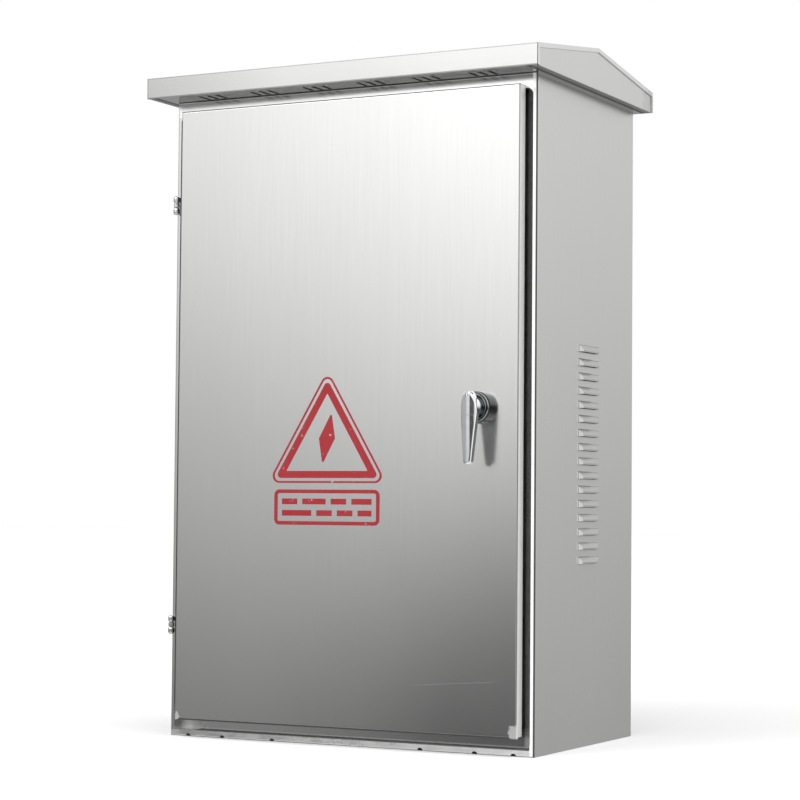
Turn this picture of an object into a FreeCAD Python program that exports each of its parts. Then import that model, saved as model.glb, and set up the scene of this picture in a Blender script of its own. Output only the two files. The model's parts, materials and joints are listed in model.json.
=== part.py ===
import FreeCAD, Part
import math
import os
import Sketcher

Vector = FreeCAD.Vector
Rotation = FreeCAD.Rotation
Placement = FreeCAD.Placement

# Outdoor switchboard cabinet: a folded sheet enclosure with a gutter frame round its mouth, a pan
# door on two bullet hinges, a lever handle that works a tongue and two rods, and a gabled rain roof.
# +X is right, +Y is the back, +Z is up; the origin is the centre of the base, on the floor.
# Every size is in millimetres.

DRIVING_DIMENSIONS = (
    ("body_width", 500), ("body_depth", 300), ("body_height", 800), ("gauge", 1.5),
    ("rim_side", 5), ("rim_bottom", 8), ("rim_top", 18), ("rim_fold", 4),
    ("gutter_depth", 15), ("recess_corner", 8), ("bend", 2),
    ("lip_side", 28), ("lip_bottom", 35), ("lip_top", 29), ("lip_height", 18),
    ("door_width", 470), ("door_bottom", 21.6), ("door_height", 763.8),
    ("door_proud", 15), ("door_gap", 0.5),
    ("gasket_wide", 10), ("gasket_gap", 0.3),
    ("hat_wide", 30), ("hat_deep", 12), ("hat_foot", 10), ("hat_margin", 40),
    ("hat_left", -175), ("hat_right", 125), ("overcut", 1), ("hex_corner", 1.9),
    ("hinge_forward", 6), ("hinge_inset", 3), ("hinge_radius", 4), ("hinge_lobe", 9.5),
    ("hinge_ring", 5), ("hinge_spacing", 529), ("hinge_dome", 3.4), ("hinge_foot", 4.5),
    ("hinge_relief", 2.5), ("hinge_floor", 3), ("hinge_cap", 2.5), ("hinge_tab", 3),
    ("ring_radius", 3.5),
    ("pin_radius", 1.6), ("pin_low", 8.8), ("pin_high", 9.3), ("running_gap", 0.05), ("free_gap", 0.3),
    ("handle_x", 185), ("handle_z", 406), ("boss_radius", 19), ("boss_height", 15),
    ("boss_round", 5), ("shank_radius", 11), ("shank_gap", 0.5), ("lock_nut", 7),
    ("lock_nut_corner", 16.5), ("spindle_radius", 6), ("neck_radius", 12), ("neck_height", 8),
    ("lever_thick", 12), ("lever_top", 18), ("lever_drop", 68),
    ("lever_head", 10), ("lever_tip", 6), ("lever_tail", 5), ("lever_crown", 12), ("lever_round", 3),
    ("lever_thin", 3.5), ("tool_reach", 20), ("cover_thick", 3), ("cover_drop", 10),
    ("cover_pin", 0.7), ("cover_pin_long", 6), ("cover_pin_sunk", 0.2), ("cover_sweep", 4.2),
    ("ear_inset", 3), ("ear_wide", 3), ("ear_tall", 2.6), ("ear_sunk", 0.5),
    ("plug_radius", 5.5), ("key_wide", 1.6), ("key_tall", 7), ("key_deep", 6),
    ("cam_thick", 3), ("cam_hub", 20), ("cam_reach", 51), ("cam_wide", 20), ("cam_round", 5),
    ("cam_gap", 0.7), ("cam_screw_corner", 5), ("cam_screw_head", 3),
    ("crank", 16), ("crank_pin", 2.5), ("crank_gap", 0.8), ("slot_end", 0.5),
    ("rod_wide", 16), ("rod_thick", 3), ("rod_top", 765), ("rod_bottom", 41), ("rod_end", 9),
    ("rod_round", 4), ("guide_wide", 24), ("guide_tall", 10), ("guide_skin", 2),
    ("guide_relief", 18), ("guide_end", 90), ("guide_near", 110),
    ("roof_side", 20), ("roof_front", 42), ("roof_rear", 20), ("fascia", 25.5), ("roof_rise", 25.5),
    ("roof_band", 5), ("soffit_lap", 14), ("soffit_gauge", 0.8), ("roof_bend", 1.2),
    ("vent_pitch", 75), ("vent_step", 12.7), ("vent_wide", 4.6), ("vent_long", 24), ("vent_groups", 6),
    ("vent_back", 5), ("filter_lap", 6), ("filter_thick", 4),
    ("top_vent_wide", 3), ("top_vent_long", 60), ("top_vent_count", 13),
    ("bolt_radius", 3), ("bolt_head", 4), ("bolt_proud", 11), ("bolt_nut", 5),
    ("bolt_inset", 9), ("bolt_y", 93),
    ("louvre_count", 16), ("louvre_pitch", 17.2), ("louvre_long", 66), ("louvre_tall", 9),
    ("louvre_deep", 4), ("louvre_low", 221.6), ("louvre_y", 7), ("louvre_end", 9), ("louvre_lip", 2),
    ("louvre_skin", 1), ("louvre_shoulder", 0.75), ("louvre_fall", 0.55), ("louvre_throat", 0.45),
    ("louvre_root", 2.2),
    ("wall_hole_x", 400), ("wall_hole_z", 680), ("wall_hole_radius", 4.5),
    ("plate_width", 430), ("plate_height", 680), ("plate_gauge", 2.5), ("plate_face", 120),
    ("stud_x", 390), ("stud_z", 640), ("stud_radius", 4), ("stud_proud", 12),
    ("stud_nut", 6.5), ("spacer_wall", 3.5),
    ("device_x", 300), ("device_z", 500), ("device_radius", 3.25),
    ("gland_y", 70), ("gland_long", 300), ("gland_wide", 110), ("gland_lap", 15),
    ("screw_radius", 2.5), ("screw_corner", 4.6), ("screw_head", 3.5),
    ("cable_pitch", 80), ("cable_radius", 12), ("grommet_radius", 20),
    ("grommet_lap", 4), ("grommet_tall", 5), ("grommet_neck", 3.5),
    ("earth_y", 60), ("earth_z", 80), ("earth_radius", 4), ("earth_long", 26),
    ("earth_collar", 6.5), ("earth_flange", 4),
    ("notch_radius", 4), ("notch_drop", 0.5), ("notch_inner", 102), ("notch_middle", 174),
    ("notch_outer", 224),
    ("sign_gauge", 0.4), ("sign_x", -20), ("sign_z", 317), ("sign_side", 165),
    ("sign_tall", 137.3), ("mark_line", 2.3), ("band_out", 6), ("band_in", 14.6),
    ("mark_round", 9), ("mark_round_in", 7), ("band_round", 4.5), ("band_round_in", 0.8),
    ("lozenge_round", 1.2), ("lozenge_z", 54), ("lozenge_tall", 62), ("lozenge_wide", 22),
    ("lozenge_lean", 6),
    ("label_wide", 146), ("label_tall", 43), ("label_gap", 8), ("label_line", 4.5),
    ("label_round", 7), ("label_round_in", 2.5), ("label_margin", 11),
    ("bar_tall", 7), ("bar_pitch", 14),
)

# Where the plain bars of the label's two rows start and end, as shares of its half width.
LABEL_BARS = (((-1.0, -0.66), (-0.54, -0.02), (0.10, 0.44), (0.56, 1.0)),
              ((-1.0, -0.34), (-0.22, 0.12), (0.24, 0.58), (0.70, 1.0)))

doc = FreeCAD.newDocument("switchboard_cabinet")
dims = doc.addObject("Spreadsheet::Sheet", "dims")
for row, (alias, size) in enumerate(DRIVING_DIMENSIONS, 1):
    dims.set(f"A{row}", alias)
    dims.set(f"B{row}", str(size))
    dims.setAlias(f"B{row}", alias)
doc.recompute()

PARTS = {}

# Places that many sub-parts share, as expressions of the sheet's cells.
RIGHT = "dims.body_width / 2"
BACK = "dims.body_depth / 2"
FRONT = "-dims.body_depth / 2"
TOP = "dims.body_height"
GAUGE = "dims.gauge"
FLOOR_FRONT = f"{FRONT} + dims.gutter_depth"
FLOOR_REAR = f"{FLOOR_FRONT} + {GAUGE}"
LIP_TIP = f"{FLOOR_FRONT} - dims.lip_height"
LIP_X = f"{RIGHT} - dims.lip_side"
LIP_TOP = f"{TOP} - dims.lip_top"
DOOR_FACE = f"{FRONT} - dims.door_proud"
DOOR_INNER = f"{DOOR_FACE} + {GAUGE}"
DOOR_REAR = f"{FRONT} - dims.door_gap"
DOOR_RIGHT = "dims.door_width / 2"
DOOR_TOP = "dims.door_bottom + dims.door_height"
DOOR_MID = "dims.door_bottom + dims.door_height / 2"
HINGE_Y = f"{FRONT} - dims.hinge_forward"
BOSS_FACE = f"{DOOR_FACE} - dims.boss_height"
NECK_FACE = f"{BOSS_FACE} - dims.neck_height"
LEVER_FACE = f"{NECK_FACE} - dims.lever_thick"
CAM_FRONT = f"{FLOOR_REAR} + dims.cam_gap"
CAM_REAR = f"{CAM_FRONT} + dims.cam_thick"
ROD_FRONT = f"{CAM_REAR} + dims.free_gap"
ROD_REAR = f"{ROD_FRONT} + dims.rod_thick"
ROOF_RIGHT = f"{RIGHT} + dims.roof_side"
ROOF_FRONT = f"{FRONT} - dims.roof_front"
ROOF_REAR = f"{BACK} + dims.roof_rear"
ROOF_MID = "(dims.roof_rear - dims.roof_front) / 2"
EAVE = f"{TOP} + dims.fascia"
RIDGE = f"{EAVE} + dims.roof_rise"
PLATE_REAR = "dims.plate_face + dims.plate_gauge"
GLAND_TOP = f"{GAUGE} * 3"
SOFFIT_TOP = f"{TOP} + dims.soffit_gauge"
SLOT_REAR = f"{FRONT} - dims.vent_back"
SLOT_FRONT = f"{SLOT_REAR} - dims.vent_long"
HX = "dims.handle_x"
HZ = "dims.handle_z"
GRIP_LEFT = f"{HX} - dims.tool_reach"
GRIP_RIGHT = f"{HX} + dims.tool_reach"
GRIP_LOW = f"{HZ} - dims.lever_drop - dims.tool_reach"
GRIP_HIGH = f"{HZ} + dims.lever_top + dims.tool_reach"
CRANK_SIDE = "dims.crank * cos(45)"
ROD_OFFSET = "dims.crank * (1 + cos(45)) / 2"

# Two places nearer than this are the same, and an edge follows an axis when its unit direction
# has more than this share along it.
NEAR = 0.1
ALONG = 0.9


# ---- Helpers: sketches, features and primitives, all bound to the sheet ----

def new_body(label):
    """A body that becomes the sub-part of that name."""
    body = doc.addObject("PartDesign::Body", label)
    PARTS[label] = body
    return body


def rectangle(x_low, x_high, y_low, y_high):
    """The four corners of an upright rectangle."""
    return [(x_low, y_low), (x_high, y_low), (x_high, y_high), (x_low, y_high)]


def pin_point(sketch, curve, end, x, y, start=(1.0, 1.0)):
    """Hold one point of a sketched curve at bound distances from the sketch's origin."""
    for kind, place, near in (("DistanceX", x, start[0]), ("DistanceY", y, start[1])):
        index = sketch.addConstraint(Sketcher.Constraint(kind, -1, 1, curve, end, near))
        sketch.setExpression(f"Constraints[{index}]", str(place))


def draw_polygon(sketch, corners):
    """A closed polygon whose corners are bound one by one."""
    first = sketch.GeometryCount
    count = len(corners)
    spokes = [Vector(math.cos(2 * math.pi * k / count), math.sin(2 * math.pi * k / count), 0)
              for k in range(count)]
    for k in range(count):
        sketch.addGeometry(Part.LineSegment(spokes[k], spokes[(k + 1) % count]), False)
    for k in range(count):
        following = first + (k + 1) % count
        sketch.addConstraint(Sketcher.Constraint("Coincident", first + k, 2, following, 1))
    for k, (x, y) in enumerate(corners):
        pin_point(sketch, first + k, 1, x, y)


def draw_circle(sketch, x, y, radius):
    """A circle with a bound centre and radius."""
    circle = Part.Circle(Vector(0, 0, 0), Vector(0, 0, 1), 1.0)
    curve = sketch.addGeometry(circle, False)
    pin_point(sketch, curve, 3, x, y)
    index = sketch.addConstraint(Sketcher.Constraint("Radius", curve, 1.0))
    sketch.setExpression(f"Constraints[{index}]", str(radius))


def new_sketch(body, name, plane, offset):
    """A sketch on one of the body's origin planes, moved along that plane's normal."""
    sketch = body.newObject("Sketcher::SketchObject", name)
    face = [item for item in body.Origin.OriginFeatures if item.Role == plane][0]
    sketch.AttachmentSupport = [(face, "")]
    sketch.MapMode = "FlatFace"
    sketch.setExpression(".AttachmentOffset.Base.z", offset)
    return sketch


def prism(body, name, plane, loops, low, high, cut=False):
    """Pad or pocket the loops between two places along the plane's normal axis.

    A loop is a list of corners, or one (x, y, radius) tuple for a circle. The XZ plane's
    normal is -Y, so there the sketch starts at the high end.
    """
    start = f"-({high})" if plane == "XZ_Plane" else str(low)
    sketch = new_sketch(body, f"{name}_sketch", plane, start)
    for loop in loops:
        if isinstance(loop, tuple):
            draw_circle(sketch, *loop)
        else:
            draw_polygon(sketch, loop)
    before = body.Shape.Volume if cut else 0.0
    kind = "PartDesign::Pocket" if cut else "PartDesign::Pad"
    feature = body.newObject(kind, name)
    feature.Profile = sketch
    feature.setExpression("Length", f"({high}) - ({low})")
    feature.Reversed = cut
    doc.recompute()
    if cut and not body.Shape.Volume < before:
        raise ValueError(f"{name} cuts nothing")
    return feature


def repeat(body, name, features, axis, spacing, occurrences):
    """Repeat features along one of the body's axes, at a bound spacing."""
    pattern = body.newObject("PartDesign::LinearPattern", name)
    pattern.Originals = features
    line = [item for item in body.Origin.OriginFeatures if item.Role == axis][0]
    pattern.Direction = (line, [""])
    pattern.setExpression("Occurrences", occurrences)
    pattern.setExpression("Length", f"({spacing}) * ({occurrences} - 1)")
    body.Tip = pattern
    doc.recompute()


def round_edges(body, name, radius, wanted):
    """Fillet the edges of the body's tip whose middle point and direction the test accepts."""
    names = []
    base = body.Tip
    for index, edge in enumerate(base.Shape.Edges, 1):
        middle = edge.valueAt((edge.FirstParameter + edge.LastParameter) / 2)
        along = edge.tangentAt((edge.FirstParameter + edge.LastParameter) / 2)
        if wanted(middle, along):
            names.append(f"Edge{index}")
    fillet = body.newObject("PartDesign::Fillet", name)
    fillet.Base = (base, names)
    fillet.setExpression("Radius", radius)
    doc.recompute()


def keep(label, item):
    """Register a document object as a finished sub-part."""
    item.Label = label
    PARTS[label] = item
    return item


def box(name, x, y, z):
    """A box between bound pairs of places along X, Y and Z."""
    item = doc.addObject("Part::Box", name)
    for side, axis, (low, high) in zip(("Length", "Width", "Height"), "xyz", (x, y, z)):
        item.setExpression(side, f"({high}) - ({low})")
        item.setExpression(f"Placement.Base.{axis}", str(low))
    return item


DIRECTIONS = {"x": Vector(1, 0, 0), "y": Vector(0, 1, 0), "z": Vector(0, 0, 1)}


def stand(item, axis, at, low):
    """Point an upright primitive along an axis and bind where its foot stands."""
    item.Placement = Placement(Vector(), Rotation(Vector(0, 0, 1), DIRECTIONS[axis]))
    places = dict(zip([letter for letter in "xyz" if letter != axis], at))
    places[axis] = low
    for letter, place in places.items():
        item.setExpression(f"Placement.Base.{letter}", str(place))
    return item


def rod(name, axis, at, radius, low, high):
    """A cylinder along an axis, between two bound places."""
    item = doc.addObject("Part::Cylinder", name)
    item.setExpression("Radius", str(radius))
    item.setExpression("Height", f"({high}) - ({low})")
    return stand(item, axis, at, low)


def hexagon(name, axis, at, corner_radius, low, high):
    """A six-sided prism along an axis, between two bound places."""
    item = doc.addObject("Part::Prism", name)
    item.Polygon = 6
    item.setExpression("Circumradius", str(corner_radius))
    item.setExpression("Height", f"({high}) - ({low})")
    return stand(item, axis, at, low)


def cut(name, base, tool):
    """Base less tool."""
    item = doc.addObject("Part::Cut", name)
    item.Base = base
    item.Tool = tool
    return item


def join(name, pieces):
    """Pieces fused into one solid."""
    item = doc.addObject("Part::MultiFuse", name)
    item.Shapes = pieces
    return item


def group(label, pieces):
    """Pieces kept as separate solids of one sub-part."""
    item = doc.addObject("Part::Compound", label)
    item.Links = pieces
    return keep(label, item)


def corners_of(width, height, mid):
    """Four bound points round a centre line, as (x, z)."""
    return [(f"{side}({width}) / 2", f"{mid} {level} ({height}) / 2")
            for side in ("-", "") for level in ("-", "+")]


# ---- Enclosure ----

def louvred_side(label, sign):
    """A side sheet with one column of pressed louvres, open at their lower edges."""
    body = new_body(label)
    outer, inner = f"{sign} * ({RIGHT})", f"{sign} * ({RIGHT} - {GAUGE})"
    low, high = (inner, outer) if sign > 0 else (outer, inner)
    sheet = rectangle(f"{FRONT} + dims.rim_fold", BACK, 0, TOP)
    prism(body, f"{label}_sheet", "YZ_Plane", [sheet], low, high)
    y_low, y_high = "dims.louvre_y - dims.louvre_long / 2", "dims.louvre_y + dims.louvre_long / 2"
    z_low, z_high = "dims.louvre_low", "dims.louvre_low + dims.louvre_tall"
    crest = f"{sign} * ({RIGHT} + dims.louvre_deep)"
    shoulder = f"{sign} * ({RIGHT} + dims.louvre_deep * dims.louvre_shoulder)"
    hood = [(inner, z_low), (crest, z_low), (crest, f"{z_low} + dims.louvre_lip"),
            (shoulder, f"{z_low} + dims.louvre_tall * dims.louvre_fall"), (outer, z_high), (inner, z_high)]
    hood_pad = prism(body, f"{label}_hood", "XZ_Plane", [hood], y_low, y_high)
    y_low_in, y_high_in = f"{y_low} + dims.louvre_end", f"{y_high} - dims.louvre_end"
    front_cut, rear_cut = [
        prism(body, f"{label}_{end}_taper", "XY_Plane", [[(outer, tip), (crest, tip), (crest, tip_in)]],
              f"{z_low} - dims.overcut", f"{z_high} + dims.overcut", cut=True)
        for end, tip, tip_in in (("front", y_low, y_low_in), ("rear", y_high, y_high_in))]
    wall_in = f"{sign} * ({RIGHT} - {GAUGE} - dims.overcut)"
    throat_out = f"{sign} * ({RIGHT} + dims.louvre_deep - dims.louvre_skin)"
    throat_mid = f"{sign} * ({RIGHT} + dims.louvre_deep * dims.louvre_shoulder - dims.louvre_skin)"
    half_skin = "dims.louvre_skin / 2"
    throat = [(wall_in, f"{z_low} - {half_skin}"), (throat_out, f"{z_low} - {half_skin}"),
              (throat_out, f"{z_low} + dims.louvre_lip - {half_skin}"),
              (throat_mid, f"{z_low} + dims.louvre_tall * dims.louvre_throat"),
              (wall_in, f"{z_high} - dims.louvre_root")]
    throat_cut = prism(body, f"{label}_throat", "XZ_Plane", [throat], y_low_in, y_high_in, cut=True)
    repeat(body, f"{label}_louvres", [hood_pad, front_cut, rear_cut, throat_cut], "Z_Axis",
           "dims.louvre_pitch", "dims.louvre_count")


def back_and_ends():
    """The back sheet with its wall holes, the vented top and the bottom with its gland opening."""
    back = new_body("back_panel")
    inner = f"{RIGHT} - {GAUGE}"
    sheet = rectangle(f"-({inner})", inner, 0, TOP)
    prism(back, "back_sheet", "XZ_Plane", [sheet], f"{BACK} - {GAUGE}", BACK)
    holes = [(x, z, "dims.wall_hole_radius")
             for x, z in corners_of("dims.wall_hole_x", "dims.wall_hole_z", f"{TOP} / 2")]
    prism(back, "wall_holes", "XZ_Plane", holes, f"{BACK} - {GAUGE}", BACK, cut=True)

    top = new_body("top_panel")
    front_edge, back_edge = f"{FRONT} + dims.rim_fold", f"{BACK} - {GAUGE}"
    plate = rectangle(f"-({inner})", inner, front_edge, back_edge)
    prism(top, "top_sheet", "XY_Plane", [plate], f"{TOP} - {GAUGE}", TOP)
    first_x, half_wide = "-dims.vent_pitch * 2", "dims.top_vent_wide / 2"
    vent = rectangle(f"{first_x} - {half_wide}", f"{first_x} + {half_wide}",
                     "-dims.top_vent_long / 2", "dims.top_vent_long / 2")
    slot = prism(top, "top_vent", "XY_Plane", [vent], f"{TOP} - {GAUGE}", TOP, cut=True)
    repeat(top, "top_vents", [slot], "X_Axis", "dims.vent_pitch / 3", "dims.top_vent_count")

    bottom = new_body("bottom_panel")
    prism(bottom, "bottom_sheet", "XY_Plane", [plate], 0, GAUGE)
    opening = rectangle("-dims.gland_long / 2", "dims.gland_long / 2",
                        "dims.gland_y - dims.gland_wide / 2", "dims.gland_y + dims.gland_wide / 2")
    prism(bottom, "gland_opening", "XY_Plane", [opening], 0, GAUGE, cut=True)


def gutter_frame():
    """The folded mouth of the body: rim, rain gutter and sealing lip, in four lengths."""
    body = doc.addObject("PartDesign::Body", "mouth_frame")
    outer = rectangle(f"-({RIGHT})", RIGHT, 0, TOP)
    recess = rectangle(f"-({RIGHT} - dims.rim_side)", f"{RIGHT} - dims.rim_side",
                       "dims.rim_bottom", f"{TOP} - dims.rim_top")
    wall = rectangle(f"-({RIGHT} - dims.rim_side + {GAUGE})", f"{RIGHT} - dims.rim_side + {GAUGE}",
                     f"dims.rim_bottom - {GAUGE}", f"{TOP} - dims.rim_top + {GAUGE}")
    lip = rectangle(f"-({LIP_X} + {GAUGE})", f"{LIP_X} + {GAUGE}",
                    f"dims.lip_bottom - {GAUGE}", f"{LIP_TOP} + {GAUGE}")
    mouth = rectangle(f"-({LIP_X})", LIP_X, "dims.lip_bottom", LIP_TOP)
    inside = rectangle(f"-({RIGHT} - {GAUGE})", f"{RIGHT} - {GAUGE}", GAUGE, f"{TOP} - {GAUGE}")
    prism(body, "frame_blank", "XZ_Plane", [outer], FRONT, FLOOR_REAR)
    prism(body, "frame_lip", "XZ_Plane", [lip], LIP_TIP, FLOOR_REAR)
    prism(body, "frame_gutter", "XZ_Plane", [recess, lip], LIP_TIP, FLOOR_FRONT, cut=True)
    prism(body, "frame_mouth", "XZ_Plane", [mouth], LIP_TIP, FLOOR_REAR, cut=True)
    prism(body, "frame_hollow", "XZ_Plane", [inside, wall], f"{FRONT} + {GAUGE}", FLOOR_REAR, cut=True)
    prism(body, "frame_trim", "XZ_Plane", [outer, inside], f"{FRONT} + dims.rim_fold", FLOOR_REAR,
          cut=True)
    half_wide, tall = dims.body_width / 2, dims.body_height
    front = -dims.body_depth / 2
    round_edges(body, "frame_bends", "dims.bend",
                lambda at, along: abs(at.y - front) < NEAR and abs(along.y) < 1 - ALONG
                and (abs(at.x) > half_wide - NEAR or at.z < NEAR or at.z > tall - NEAR))
    recess_x = half_wide - dims.rim_side
    round_edges(body, "recess_corners", "dims.recess_corner",
                lambda at, along: abs(along.y) > ALONG and abs(abs(at.x) - recess_x) < NEAR
                and front - NEAR < at.y < front + dims.gutter_depth)
    notches = [(f"{side}dims.notch_{place}", "-dims.notch_drop", "dims.notch_radius")
               for place in ("inner", "middle", "outer") for side in ("-", "")]
    prism(body, "drain_notches", "XZ_Plane", notches, f"{FRONT} - dims.overcut",
          f"{FRONT} + dims.rim_fold", cut=True)

    far = f"{RIGHT} + dims.overcut"
    bands = (("frame_bottom", f"-({far})", far, "-dims.overcut", "dims.lip_bottom"),
             ("frame_top", f"-({far})", far, LIP_TOP, f"{TOP} + dims.overcut"),
             ("frame_left", f"-({far})", 0, "dims.lip_bottom", LIP_TOP),
             ("frame_right", 0, far, "dims.lip_bottom", LIP_TOP))
    for label, x_low, x_high, z_low, z_high in bands:
        length = doc.addObject("Part::Common", label)
        length.Base = body
        length.Tool = box(f"{label}_span", (x_low, x_high),
                          (f"{LIP_TIP} - dims.overcut", f"{FLOOR_REAR} + dims.overcut"), (z_low, z_high))
        keep(label, length)


# ---- Roof ----

def roof_section(inset, low):
    """The roof's section across its depth, with its outline moved inwards and open down to low."""
    front, rear, eave = f"{ROOF_FRONT} + {inset}", f"{ROOF_REAR} - {inset}", f"{EAVE} - {inset}"
    return [(front, low), (rear, low), (rear, eave), (ROOF_MID, f"{RIDGE} - {inset}"), (front, eave)]


def roof():
    """A gabled cover with a band folded over each gable, and a closed, slotted soffit."""
    cover = new_body("roof_cover")
    end, inner_end, below = ROOF_RIGHT, f"{ROOF_RIGHT} - {GAUGE}", f"{TOP} - dims.overcut"
    prism(cover, "roof_blank", "YZ_Plane", [roof_section(0, TOP)], f"-({end})", end)
    round_edges(cover, "roof_corners", "dims.roof_bend", lambda at, along: abs(along.z) > ALONG)
    prism(cover, "roof_hollow", "YZ_Plane", [roof_section(GAUGE, below)], f"-({inner_end})", inner_end,
          cut=True)
    prism(cover, "roof_gable_openings", "YZ_Plane", [roof_section("dims.roof_band", below)],
          f"-({end})", end, cut=True)
    plate_end = f"{ROOF_RIGHT} - {GAUGE} * 2"
    for label, x_low, x_high in (("roof_gable_left", f"-({inner_end})", f"-({plate_end})"),
                                 ("roof_gable_right", plate_end, inner_end)):
        gable = new_body(label)
        prism(gable, f"{label}_plate", "YZ_Plane", [roof_section(GAUGE, TOP)], x_low, x_high)

    side_in = f"{RIGHT} - dims.soffit_lap"
    side_out = plate_end
    front_in, back_in = f"{FRONT} + dims.soffit_lap", f"{BACK} - dims.soffit_lap"
    front_out, back_out = f"{ROOF_FRONT} + {GAUGE}", f"{ROOF_REAR} - {GAUGE}"
    strips = (("soffit_front", f"-({side_out})", side_out, front_out, front_in),
              ("soffit_rear", f"-({side_out})", side_out, back_in, back_out),
              ("soffit_left", f"-({side_out})", f"-({side_in})", front_in, back_in),
              ("soffit_right", side_in, side_out, front_in, back_in))
    for label, x_low, x_high, y_low, y_high in strips:
        strip = new_body(label)
        prism(strip, f"{label}_strip", "XY_Plane", [rectangle(x_low, x_high, y_low, y_high)],
              TOP, SOFFIT_TOP)
        if label != "soffit_front":
            continue
        mid, half = "(-(dims.vent_groups - 1) / 2) * dims.vent_pitch", "dims.vent_wide / 2"
        middles = [f"{mid} + {step} * dims.vent_step" for step in (-1, 0, 1)]
        slots = [rectangle(f"{at} - {half}", f"{at} + {half}", SLOT_FRONT, SLOT_REAR) for at in middles]
        vents = prism(strip, "soffit_slots", "XY_Plane", slots, TOP, SOFFIT_TOP, cut=True)
        repeat(strip, "soffit_vents", [vents], "X_Axis", "dims.vent_pitch", "dims.vent_groups")

    pads = []
    for index in range(round(dims.vent_groups)):
        mid = f"({index} - (dims.vent_groups - 1) / 2) * dims.vent_pitch"
        half = "(dims.vent_step + dims.filter_lap)"
        pads.append(box(f"filter_pad_{index}", (f"{mid} - {half}", f"{mid} + {half}"),
                        (f"{SLOT_FRONT} - dims.filter_lap / 2", f"{SLOT_REAR} + dims.filter_lap / 2"),
                        (SOFFIT_TOP, f"{SOFFIT_TOP} + dims.filter_thick")))
    group("vent_filters", pads)


def bolts(label, places, axis, low, high, radius, head):
    """Hexagon-headed bolts: a shank between two places with its head past the low end."""
    made = []
    for index, at in enumerate(places, 1):
        shank = rod(f"{label}_shank{index}", axis, at, radius, low, high)
        cap = hexagon(f"{label}_head{index}", axis, at, f"{radius} * dims.hex_corner",
                      f"({low}) - {head}", low)
        made.append(join(f"{label}_bolt{index}", [shank, cap]))
    group(label, made)


def nuts(label, places, axis, low, high, radius, corner=None):
    """Hexagon nuts with a running clearance on their studs."""
    made = []
    for index, at in enumerate(places, 1):
        blank = hexagon(f"{label}_blank{index}", axis, at, corner or f"{radius} * dims.hex_corner",
                        low, high)
        bore = rod(f"{label}_bore{index}", axis, at, f"{radius} + dims.running_gap", low, high)
        made.append(cut(f"{label}_nut{index}", blank, bore))
    group(label, made)


def roof_fixings():
    """Four bolts from below, through the top sheet and the soffit's lap, with nuts in the roof."""
    places = [(f"{side}({RIGHT} - dims.bolt_inset)", f"{end}dims.bolt_y")
              for side in ("-", "") for end in ("-", "")]
    holes = [(x, y, "dims.bolt_radius + dims.running_gap") for x, y in places]
    for name, own in (("soffit_left", holes[:2]), ("soffit_right", holes[2:])):
        prism(PARTS[name], f"{name}_holes", "XY_Plane", own, TOP, SOFFIT_TOP, cut=True)
    prism(PARTS["top_panel"], "top_holes", "XY_Plane", holes, f"{TOP} - {GAUGE}", TOP, cut=True)
    bolts("roof_bolts", places, "z", f"{TOP} - {GAUGE}", f"{TOP} + dims.bolt_proud", "dims.bolt_radius",
          "dims.bolt_head")
    nuts("roof_nuts", places, "z", SOFFIT_TOP, f"{SOFFIT_TOP} + dims.bolt_nut", "dims.bolt_radius")


# ---- Inside the enclosure ----

def mounting_plate():
    """The equipment plate on four welded studs, with spacer tubes and nuts."""
    plate = new_body("mounting_plate")
    mid = f"{TOP} / 2"
    sheet = rectangle("-dims.plate_width / 2", "dims.plate_width / 2",
                      f"{mid} - dims.plate_height / 2", f"{mid} + dims.plate_height / 2")
    prism(plate, "plate_sheet", "XZ_Plane", [sheet], "dims.plate_face", PLATE_REAR)
    places = corners_of("dims.stud_x", "dims.stud_z", mid)
    holes = [(x, z, "dims.stud_radius + dims.free_gap") for x, z in places]
    holes += [(x, z, "dims.device_radius") for x, z in corners_of("dims.device_x", "dims.device_z", mid)]
    prism(plate, "plate_holes", "XZ_Plane", holes, "dims.plate_face", PLATE_REAR, cut=True)
    inner_back = f"{BACK} - {GAUGE}"
    tip = "dims.plate_face - dims.stud_proud"
    group("plate_studs", [rod(f"plate_stud{index}", "y", at, "dims.stud_radius", tip, inner_back)
                          for index, at in enumerate(places, 1)])
    spacers = []
    for index, at in enumerate(places, 1):
        tube = rod(f"spacer_tube{index}", "y", at, "dims.stud_radius + dims.spacer_wall", PLATE_REAR,
                   inner_back)
        bore = rod(f"spacer_bore{index}", "y", at, "dims.stud_radius + dims.running_gap", PLATE_REAR,
                   inner_back)
        spacers.append(cut(f"spacer{index}", tube, bore))
    group("plate_spacers", spacers)
    nuts("plate_nuts", places, "y", "dims.plate_face - dims.stud_nut", "dims.plate_face", "dims.stud_radius")


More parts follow.
